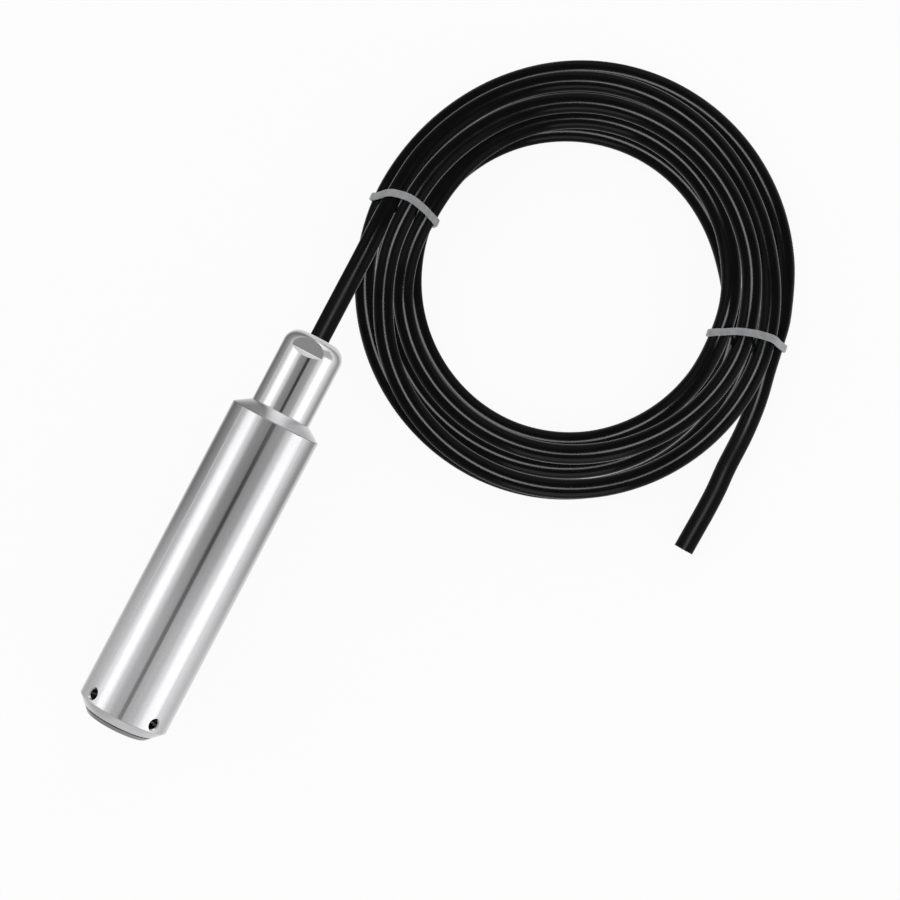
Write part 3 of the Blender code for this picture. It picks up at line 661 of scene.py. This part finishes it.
def build_head():
    groove_top = HOUSING_TOP - GROOVE_DROP + GROOVE_WIDTH / 2
    groove_foot = groove_top - GROOVE_WIDTH
    gland_top = PROBE_LENGTH - GLAND_ROOF
    bore = CABLE_BORE_R
    profile = (
        (bore, PROBE_LENGTH, DOME_EDGE),
        *arc((NECK_R - NECK_FILLET, PROBE_LENGTH - NECK_FILLET), NECK_FILLET, 90, 0, 20),
        (NECK_R, NECK_FOOT, NECK_EDGE),
        (BODY_R, HOUSING_TOP + SEAM, HEAD_EDGE),
        (SPIGOT_R, HOUSING_TOP + SEAM),
        (SPIGOT_R, groove_top),
        (SPIGOT_R - GROOVE_DEPTH, groove_top),
        (SPIGOT_R - GROOVE_DEPTH, groove_foot),
        (SPIGOT_R, groove_foot),
        (SPIGOT_R, HOUSING_TOP - SPIGOT_LENGTH),
        (SPIGOT_R - SPIGOT_WALL, HOUSING_TOP - SPIGOT_LENGTH),
        (SPIGOT_R - SPIGOT_WALL, HOUSING_TOP - GLAND_DROP),
        (GLAND_R, HOUSING_TOP - GLAND_DROP),
        (GLAND_R, gland_top),
        (bore, gland_top + GLAND_R - bore),
    )
    cutters = [wrench_block(i) for i in range(2)]
    mesh = carved(turned_mesh("head", eased(profile, True), True), cutters)
    return add_piece("head", mesh, "head_steel", "cable_head")


def wrench_block(index):
    """A block beside the neck whose lower face runs out at 45 degrees."""
    reach = NECK_R - WRENCH_WIDTH / 2 + CLEAR
    foot = NECK_FOOT + WRENCH_HEIGHT
    top = PROBE_LENGTH + CLEAR
    middle = (foot + top) / 2
    size = (reach, 2 * NECK_R, top - foot)
    bm = bmesh.new()
    place = Matrix.Translation((WRENCH_WIDTH / 2 + reach / 2, 0, middle)) @ Matrix.Diagonal((*size, 1))
    bmesh.ops.create_cube(bm, size=1, matrix=place)
    for vert in bm.verts:
        if vert.co.x > WRENCH_WIDTH / 2 + reach / 2 and vert.co.z < middle:
            vert.co.z -= reach
    return bm, Matrix.Rotation(-WRENCH_TURN - math.pi / 2 + math.pi * index, 4, "Z")


# Materials

# Distances from the coil's middle between which the cable goes over to a duller gloss, and by how much
DULL_START = (0.0635, 0.0700)
DULL_MORE = 0.22

# From the shoulder's foot to its top, and how much rougher it is than the neck
CONE_SATIN = (HOUSING_TOP - PROBE_LENGTH / 2, NECK_FOOT - PROBE_LENGTH / 2, 0.08)

SHEATH_BLACK = (0.0008, 0.0008, 0.0010)
# Factor that darkens the plug's steel colour: painted shade, standing in for the dark reflections on its rim
PLUG_PAINTED_SHADE = 0.55

# Lowest and highest roughness, depth of the streaks and spread of the reflections for each outer steel
STEELS = {
    "housing_steel": (0.13, 0.18, 0.08, 0.8),
    "head_steel": (0.11, 0.15, 0.05, 0.8, CONE_SATIN),
    "plug_steel": (0.22, 0.30, 0.12, 0.4),
}

# Metallic value, lowest and highest roughness, grain and its depth for each plain slot
PLAIN = {
    "sensor_steel": (1, 0.28, 0.40, 2400, 0.00001),
    "diaphragm_foil": (1, 0.08, 0.18, 1600, 0.000005),
    "pin_gold": (1, 0.20, 0.32, 3000, 0.000005),
    "nickel_plate": (1, 0.22, 0.34, 2400, 0.00001),
    "crimp_copper": (1, 0.30, 0.45, 1800, 0.00002),
    "seal_rubber": (0, 0.50, 0.68, 1600, 0.00002),
    "holder_plastic": (0, 0.42, 0.56, 1400, 0.00002),
    "board_laminate": (0, 0.34, 0.48, 1100, 0.00002),
    "chip_black": (0, 0.42, 0.56, 2600, 0.00001),
    "trimmer_blue": (0, 0.34, 0.46, 1800, 0.00001),
    "capacitor_can": (1, 0.24, 0.36, 2600, 0.00001),
    "core_red": (0, 0.38, 0.50, 1500, 0.00001),
    "core_black": (0, 0.38, 0.50, 1500, 0.00001),
    "vent_clear": (0, 0.24, 0.36, 1500, 0.00001),
    "wire_white": (0, 0.38, 0.50, 1500, 0.00001),
}


class Nodes:
    """A material's node tree with short calls to add to it."""

    def __init__(self, name):
        self.material = bpy.data.materials.new(name)
        self.material.use_nodes = True
        self.tree = self.material.node_tree
        self.shader = self.tree.nodes["Principled BSDF"]
        self.place = self.add("ShaderNodeTexCoord").outputs["Object"]

    def add(self, kind, **values):
        node = self.tree.nodes.new(kind)
        for key, value in values.items():
            setattr(node, key, value)
        return node

    def link(self, source, target):
        self.tree.links.new(source, target)

    def stretched(self, scale):
        mapping = self.add("ShaderNodeMapping")
        mapping.inputs["Scale"].default_value = scale
        self.link(self.place, mapping.inputs["Vector"])
        return mapping.outputs["Vector"]

    def noise(self, scale, detail=4.0, rough=0.6, stretch=(1, 1, 1)):
        node = self.add("ShaderNodeTexNoise")
        node.inputs["Scale"].default_value = scale
        node.inputs["Detail"].default_value = detail
        node.inputs["Roughness"].default_value = rough
        self.link(self.stretched(stretch), node.inputs["Vector"])
        return node.outputs["Fac"]

    def ranged(self, value, low, high, start=0.3, end=0.7):
        node = self.add("ShaderNodeMapRange")
        node.inputs["From Min"].default_value = start
        node.inputs["From Max"].default_value = end
        node.inputs["To Min"].default_value = low
        node.inputs["To Max"].default_value = high
        self.link(value, node.inputs["Value"])
        return node.outputs["Result"]

    def tinted(self, value, dark, light, start=0.3, end=0.7):
        node = self.add("ShaderNodeMix", data_type="RGBA")
        self.link(self.ranged(value, 0, 1, start, end), node.inputs["Factor"])
        found = [socket for socket in node.inputs if socket.type == "RGBA"]
        found[0].default_value = (*dark, 1)
        found[1].default_value = (*light, 1)
        self.link([s for s in node.outputs if s.type == "RGBA"][0], self.shader.inputs["Base Color"])

    def rough(self, value, low, high, start=0.3, end=0.7):
        self.link(self.ranged(value, low, high, start, end), self.shader.inputs["Roughness"])

    def between(self, start, end):
        """One between two places along the probe, and zero elsewhere."""
        split = self.add("ShaderNodeSeparateXYZ")
        self.link(self.place, split.inputs["Vector"])
        inside = self.add("ShaderNodeMath", operation="COMPARE")
        inside.inputs[1].default_value = (start + end) / 2
        inside.inputs[2].default_value = (end - start) / 2
        self.link(split.outputs["Y"], inside.inputs[0])
        return inside.outputs[0]

    def beyond(self, centre, start, end):
        """Zero up to one distance from a place, and one from another distance on."""
        away = self.add("ShaderNodeVectorMath", operation="DISTANCE")
        away.inputs[1].default_value = centre
        self.link(self.place, away.inputs[0])
        return self.ranged(away.outputs["Value"], 0, 1, start, end)

    def duller(self, where, more):
        """Adds to the roughness where a value is one."""
        scaled = self.add("ShaderNodeMath", operation="MULTIPLY_ADD")
        scaled.inputs[1].default_value = more
        rough = self.shader.inputs["Roughness"]
        self.link(where, scaled.inputs[0])
        self.link(rough.links[0].from_socket, scaled.inputs[2])
        self.link(scaled.outputs[0], rough)

    def bump(self, value, strength, distance):
        node = self.add("ShaderNodeBump")
        node.inputs["Strength"].default_value = strength
        node.inputs["Distance"].default_value = distance
        self.link(value, node.inputs["Height"])
        return node.outputs["Normal"]

    def finish(self, normal):
        self.link(normal, self.shader.inputs["Normal"])
        return self.material

    def surface(self, shader):
        """Puts another shader in the place of the usual one."""
        output = next(node for node in self.tree.nodes if node.type == "OUTPUT_MATERIAL")
        self.link(shader, output.inputs["Surface"])


def shade(colour, factor):
    return tuple(min(1, channel * factor) for channel in colour)


def steel(name, colour, low, high, streak, spread, satin=None):
    """Steel polished lengthwise, which blurs reflections that way, with fine streaks and a soft grain."""
    made = Nodes(name)
    shader = made.shader
    shader.inputs["Metallic"].default_value = 1
    shader.inputs["Anisotropic"].default_value = spread
    shader.inputs["Anisotropic Rotation"].default_value = 0.25
    tangent = made.add("ShaderNodeTangent", direction_type="RADIAL", axis="Y")
    made.link(tangent.outputs["Tangent"], shader.inputs["Tangent"])
    streaks = made.noise(scale=2600, detail=3, rough=0.6, stretch=(1, 0.012, 1))
    grain = made.noise(scale=2400, detail=4, rough=0.7, stretch=(1, 0.5, 1))
    made.tinted(grain, dark=shade(colour, 0.95), light=shade(colour, 1.04))
    made.rough(streaks, low, high)
    if satin:
        start, end, more = satin
        made.duller(made.between(start, end), more)
    return made.finish(made.bump(streaks, strength=streak, distance=0.00001))


def sheath(name, colour):
    """Smooth extruded black sheath with dull patches and a faint fine grain."""
    made = Nodes(name)
    made.shader.inputs["Specular IOR Level"].default_value = 0.05
    patches = made.noise(scale=160, detail=4, rough=0.55)
    fine = made.noise(scale=2200, detail=3, rough=0.6)
    made.tinted(patches, dark=shade(colour, 0.75), light=shade(colour, 1.3))
    made.rough(patches, low=0.15, high=0.19)
    made.duller(made.beyond((*COIL_CENTRE, CABLE_R), *DULL_START), DULL_MORE)
    return made.finish(made.bump(fine, strength=0.012, distance=0.00002))


def nylon(name, colour):
    """Pale translucent nylon with a slightly uneven surface."""
    made = Nodes(name)
    made.shader.inputs["Subsurface Weight"].default_value = 0.35
    made.shader.inputs["Subsurface Radius"].default_value = (0.0012, 0.0012, 0.0013)
    made.shader.inputs["Subsurface Scale"].default_value = 1.0
    clouds = made.noise(scale=500, detail=4, rough=0.6)
    fine = made.noise(scale=1800, detail=3, rough=0.5)
    made.tinted(clouds, dark=shade(colour, 0.62), light=shade(colour, 0.80))
    made.rough(clouds, low=0.34, high=0.46)
    return made.finish(made.bump(fine, strength=0.15, distance=0.00003))


def plain(name, colour, metallic, low, high, grain, depth):
    """Any inner piece: a slight mottle, uneven gloss and a fine grain."""
    made = Nodes(name)
    made.shader.inputs["Metallic"].default_value = metallic
    mottle = made.noise(scale=grain / 4, detail=4, rough=0.6)
    fine = made.noise(scale=grain, detail=3, rough=0.6)
    made.tinted(mottle, dark=shade(colour, 0.88), light=shade(colour, 1.08))
    made.rough(mottle, low, high)
    return made.finish(made.bump(fine, strength=0.3, distance=depth))


def make_materials(record):
    """One material for each slot of the record, by the slot's name."""
    colours = {entry["slot"]: entry["base_color"] for entry in record["materials"]}
    # Painted shade: the plug's steel colour is darkened to stand in for the dark reflections on its rim
    colours["plug_steel"] = shade(colours["plug_steel"], PLUG_PAINTED_SHADE)
    made = {
        "cable_sheath": sheath("cable_sheath", SHEATH_BLACK),
        "tie_nylon": nylon("tie_nylon", colours["tie_nylon"]),
    }
    for slot_name, finish in STEELS.items():
        made[slot_name] = steel(slot_name, colours[slot_name], *finish)
    for slot_name, (metallic, low, high, grain, depth) in PLAIN.items():
        made[slot_name] = plain(slot_name, colours[slot_name], metallic, low, high, grain, depth)
    return made


def dress(obj, material):
    obj.data.materials.clear()
    obj.data.materials.append(material)


# Surroundings

FLOOR_SIZE = 24.0
FLOOR_DROP = 0.0002
FLOOR_SEEN = 0.93  # share of plain white in the floor, for the camera and in reflections

# Studio round the probe: brightness at angles from straight up towards +X, in degrees. The first row belongs
# to directions that lean to the nose, the second to those that lean to the cable. The angles below the
# horizon are for the card on the floor.
SKY_NOSE = (
    (-180, 0.85), (-152, 0.85), (-140, 0.60), (-128, 0.60), (-95, 0.80), (-72, 1.30), (-60, 1.85),
    (-49, 1.80), (-33, 0.98), (-18, 0.70), (-2.0, 0.63), (-0.5, 0.26), (8.5, 0.26), (10, 0.68), (32, 0.82),
    (48, 1.15), (62, 1.75), (77, 1.80), (98, 1.10), (124, 0.80), (140, 0.75), (152, 0.90), (180, 0.85),
)
SKY_CABLE = (
    (-180, 0.85), (-152, 0.80), (-140, 0.22), (-128, 0.22), (-100, 0.40), (-80, 0.78), (-63, 1.65),
    (-51, 1.80), (-37, 1.00), (-22, 0.34), (-2.0, 0.26), (-0.5, 0.01), (8.5, 0.01), (10, 0.36), (30, 0.44),
    (48, 1.00), (62, 1.75), (77, 1.75), (100, 0.95), (124, 0.46), (140, 0.38), (152, 0.90), (180, 0.85),
)
SKY_CHANGE = (-0.155, -0.05)  # lean along Y over which one goes over into the other
# Past the ends of the probe: leans along Y over which the brightness goes over into the last value
SKY_AHEAD = ((0.10, 0.25, 0.56), (0.76, 0.86, 1.25), (0.95, 0.985, 1.6), (-0.25, -0.45, 0.56))
RAMP_TOP = 2.0  # a ramp's colours end at 1, so it holds the brightness as a share of this

# Graded card on the floor: its reach from the probe's axis, and the angles at which it takes its brightness
CARD_REACH = 0.60
CARD_DROP = 0.0001
CARD_ANGLES = (94, 98, 102, 107, 112, 118, 124, 130, 136, 142, 148, 155, 165, 178)
CARD_CHANGES = ((-0.048, 0.022), (0.037, 0.041))  # places along Y: nose to shoulder, shoulder to neck
VIEW_LEAN = math.radians(4.8)  # of the line from the probe to the camera, towards +X

# Lamps that light the cable alone: name, place, width and radiance
CABLE_LAMPS = (
    ("crown_lamp", (0.0400, 0.0700, 0.620), 0.20, 46),
    ("flank_lamp", (0.310, -0.360, 0.160), 0.36, 4.0),
)


def add_sheet(name, reach, drop):
    """A square sheet below the object that belongs to the stage."""
    bm = bmesh.new()
    bmesh.ops.create_grid(bm, x_segments=1, y_segments=1, size=reach)
    sheet = bpy.data.objects.new(name, mesh_of(name, bm))
    bpy.context.scene.collection.objects.link(sheet)
    sheet.location = (0, 0, -drop)
    return sheet


def build_floor():
    """A white floor that shows white to the camera and in metal, and still takes the object's shadow."""
    made = Nodes("floor_white")
    made.tinted(made.noise(scale=3, detail=2), dark=(0.93, 0.93, 0.93), light=(0.95, 0.95, 0.95))
    made.shader.inputs["Roughness"].default_value = 0.9
    made.shader.inputs["Specular IOR Level"].default_value = 0.1
    share = made.add("ShaderNodeMath", operation="MULTIPLY")
    share.inputs[1].default_value = FLOOR_SEEN
    rays = made.add("ShaderNodeLightPath")
    seen = rays.outputs["Is Camera Ray"]
    for kind in ("Is Glossy Ray", "Is Transmission Ray"):
        either = made.add("ShaderNodeMath", operation="MAXIMUM")
        made.link(seen, either.inputs[0])
        made.link(rays.outputs[kind], either.inputs[1])
        seen = either.outputs[0]
    made.link(seen, share.inputs[0])
    glow = made.add("ShaderNodeEmission")
    glow.inputs["Strength"].default_value = 1.0
    mix = made.add("ShaderNodeMixShader")
    made.link(share.outputs[0], mix.inputs["Fac"])
    made.link(made.shader.outputs["BSDF"], mix.inputs[1])
    made.link(glow.outputs["Emission"], mix.inputs[2])
    made.surface(mix.outputs["Shader"])
    floor = add_sheet("floor", FLOOR_SIZE / 2, FLOOR_DROP)
    dress(floor, made.material)


def card_stops(stops, radius):
    """Brightness over the card's width, from the place that a flank of this radius shows at each angle."""
    angles, levels = zip(*stops)
    found = []
    for side in (-1, 1):
        for angle in CARD_ANGLES:
            facing = (math.radians(angle) - side * VIEW_LEAN) / 2
            away = (BODY_R + radius * math.cos(facing)) * math.tan(math.pi - math.radians(angle))
            place = side * (radius * math.sin(facing) + away)
            level = float(numpy.interp(side * angle, angles, levels))
            found.append((0.5 + place / CARD_REACH / 2, level))
    return sorted(found)


def build_card():
    """A grey card that only reflections see. It gives the probe the dark lines low on its flanks."""
    made = Nodes("card_grey")
    nodes, links = made.tree.nodes, made.tree.links
    split = made.add("ShaderNodeSeparateXYZ")
    made.link(made.place, split.inputs["Vector"])
    share = made.ranged(split.outputs["X"], low=0, high=1, start=-CARD_REACH, end=CARD_REACH)
    ramps = []
    for stops, radius in ((SKY_NOSE, BODY_R), (SKY_CABLE, BODY_R), (SKY_CABLE, NECK_R)):
        ramps.append(levels_along(nodes, links, share, card_stops(stops, radius)))
    level = ramps[0]
    for after, change in zip(ramps[1:], CARD_CHANGES):
        mix = mix_along(nodes, links, split.outputs["Y"], change)
        made.link(level, mix.inputs["A"])
        made.link(after, mix.inputs["B"])
        level = mix.outputs["Result"]
    glow = made.add("ShaderNodeEmission")
    made.link(level, glow.inputs["Strength"])
    made.surface(glow.outputs["Emission"])
    card = add_sheet("card", CARD_REACH, CARD_DROP)
    card.visible_camera = False
    card.visible_diffuse = False
    card.visible_shadow = False
    dress(card, made.material)


def build_world():
    """Soft studio light: a long bright zone on either side of the probe and a darker strip above it."""
    world = bpy.data.worlds.new("studio")
    bpy.context.scene.world = world
    world.use_nodes = True
    nodes, links = world.node_tree.nodes, world.node_tree.links
    parts = nodes.new("ShaderNodeSeparateXYZ")
    links.new(nodes.new("ShaderNodeTexCoord").outputs["Generated"], parts.inputs["Vector"])
    angle = nodes.new("ShaderNodeMath")
    angle.operation = "ARCTAN2"
    links.new(parts.outputs["X"], angle.inputs[0])
    links.new(parts.outputs["Z"], angle.inputs[1])
    share = nodes.new("ShaderNodeMapRange")
    share.inputs["From Min"].default_value = -math.pi
    share.inputs["From Max"].default_value = math.pi
    links.new(angle.outputs[0], share.inputs["Value"])
    mix = mix_along(nodes, links, parts.outputs["Y"], SKY_CHANGE)
    for row, target in ((SKY_NOSE, mix.inputs["A"]), (SKY_CABLE, mix.inputs["B"])):
        stops = [((turn + 180) / 360, level) for turn, level in row]
        links.new(levels_along(nodes, links, share.outputs["Result"], stops), target)
    for start, end, ahead in SKY_AHEAD:
        whole = mix_along(nodes, links, parts.outputs["Y"], (start, end))
        whole.inputs["B"].default_value = ahead
        links.new(mix.outputs["Result"], whole.inputs["A"])
        mix = whole
    background = nodes["Background"]
    background.inputs["Color"].default_value = (1, 1, 1, 1)
    links.new(mix.outputs["Result"], background.inputs["Strength"])


def mix_along(nodes, links, along, change):
    """A mix that goes over from its first to its second value between two values of another."""
    share = nodes.new("ShaderNodeMapRange")
    share.interpolation_type = "SMOOTHSTEP"
    share.inputs["From Min"].default_value = change[0]
    share.inputs["From Max"].default_value = change[1]
    links.new(along, share.inputs["Value"])
    mix = nodes.new("ShaderNodeMix")
    mix.data_type = "FLOAT"
    links.new(share.outputs["Result"], mix.inputs["Factor"])
    return mix


def levels_along(nodes, links, share, stops):
    """Brightness over a value between zero and one, from stops of (value, brightness)."""
    ramp = nodes.new("ShaderNodeValToRGB")
    ramp.color_ramp.interpolation = "EASE"
    elements = ramp.color_ramp.elements
    elements[0].position = stops[0][0]
    elements[1].position = stops[-1][0]
    for place, _ in stops[1:-1]:
        elements.new(place)
    for element, (_, level) in zip(elements, stops):
        grey = level / RAMP_TOP
        element.color = (grey, grey, grey, 1)
    links.new(share, ramp.inputs["Fac"])
    whole = nodes.new("ShaderNodeMath")
    whole.operation = "MULTIPLY"
    whole.inputs[1].default_value = RAMP_TOP
    links.new(ramp.outputs["Color"], whole.inputs[0])
    return whole.outputs[0]


def add_cable_lamp(name, place, width, radiance, only):
    """A square lamp that shines at the coil, on one collection alone."""
    data = bpy.data.lights.new(name, "AREA")
    data.size = width
    data.energy = radiance * math.pi * width**2
    lamp = bpy.data.objects.new(name, data)
    bpy.context.scene.collection.objects.link(lamp)
    lamp.location = place
    lamp.rotation_mode = "QUATERNION"
    lamp.rotation_quaternion = (Vector(place) - Vector((*COIL_CENTRE, 0))).to_track_quat("Z", "Y")
    lamp.light_linking.receiver_collection = only


def light_scene(cable):
    """The studio, the cable's own lamps, and the cable kept out of the steel's reflections."""
    build_world()
    only = bpy.data.collections.new("lit_by_cable_lamps")
    only.objects.link(cable)
    for name, place, width, radiance in CABLE_LAMPS:
        add_cable_lamp(name, place, width, radiance, only)
    cable.visible_glossy = False
    bpy.context.scene.view_settings.view_transform = "Standard"


def main():
    set_camera()
    coil = wind_coil()
    cable, route = build_cable(*coil)
    on_cable = build_cut_end(route)
    ties = [build_tie(i + 1, *tie, coil) for i, tie in enumerate(TIES)]
    steel_pieces = [build_housing(), build_plug(), build_head()]
    materials = make_materials(frame["record"])
    for piece in (cable, *on_cable, *ties, *steel_pieces):
        dress(piece, materials[piece["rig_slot"]])
    for entry in frame["record"]["subparts"]:
        dress(frame["nodes"][entry["node"]], materials[entry["material_slot"]])
    build_floor()
    build_card()
    light_scene(cable)


main()
bpy.context.view_layer.update()
